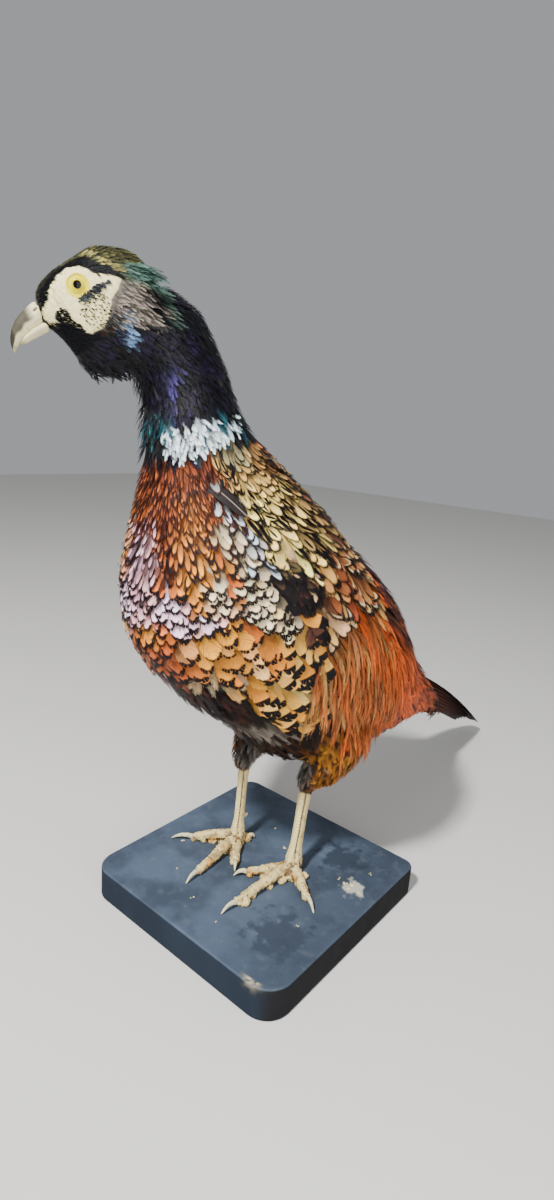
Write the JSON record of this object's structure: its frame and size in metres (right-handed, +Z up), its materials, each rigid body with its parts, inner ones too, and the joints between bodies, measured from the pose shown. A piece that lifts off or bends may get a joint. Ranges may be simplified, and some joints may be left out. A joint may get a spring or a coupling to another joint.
{
  "type": "taxidermy pheasant",
  "caption": "Mounted cock pheasant standing upright on a square painted wooden base, its head turned to its right and its tail sloping down behind.",
  "frame": {"origin": "middle of the underside of the base", "axes": "+Z up, -Y the way the bird's breast faces, +X towards the bird's own left"},
  "size_m": [0.178, 0.5831, 0.431],
  "materials": {
    "painted_wood": "worn slate-grey paint, satin",
    "head_plumage": "short feathers and bare cream skin",
    "neck_plumage": "glossy black-blue feathers",
    "breast_plumage": "copper feathers edged with black",
    "wing_plumage": "buff feathers with dark centres",
    "rump_plumage": "loose chestnut and orange feathers",
    "tail_feathers": "brown barred quills",
    "thigh_plumage": "soft brown feathers",
    "bill_horn": "dry ivory horn",
    "claw_horn": "dry pale horn",
    "leg_skin": "dried scaly skin, matt",
    "eye_glass": "yellow glass with a black pupil"
  },
  "bodies": {
    "root": {"base": "painted_wood", "head": "head_plumage", "neck": "neck_plumage", "trunk": "breast_plumage", "rump": "rump_plumage", "bill_upper": "bill_horn", "bill_lower": "bill_horn", "eye_left": "eye_glass", "eye_right": "eye_glass", "ear_tuft_left": "head_plumage", "ear_tuft_right": "head_plumage", "wing_left": "wing_plumage", "wing_right": "wing_plumage", "tail": "tail_feathers", "thigh_left": "thigh_plumage", "thigh_right": "thigh_plumage", "tarsus_left": "leg_skin", "tarsus_right": "leg_skin", "spur_left": "claw_horn", "spur_right": "claw_horn", "toe_middle_left": "leg_skin", "toe_outer_left": "leg_skin", "toe_inner_left": "leg_skin", "toe_hind_left": "leg_skin", "toe_middle_right": "leg_skin", "toe_outer_right": "leg_skin", "toe_inner_right": "leg_skin", "toe_hind_right": "leg_skin", "claw_middle_left": "claw_horn", "claw_outer_left": "claw_horn", "claw_inner_left": "claw_horn", "claw_hind_left": "claw_horn", "claw_middle_right": "claw_horn", "claw_outer_right": "claw_horn", "claw_inner_right": "claw_horn", "claw_hind_right": "claw_horn"}
  },
  "joints": []
}
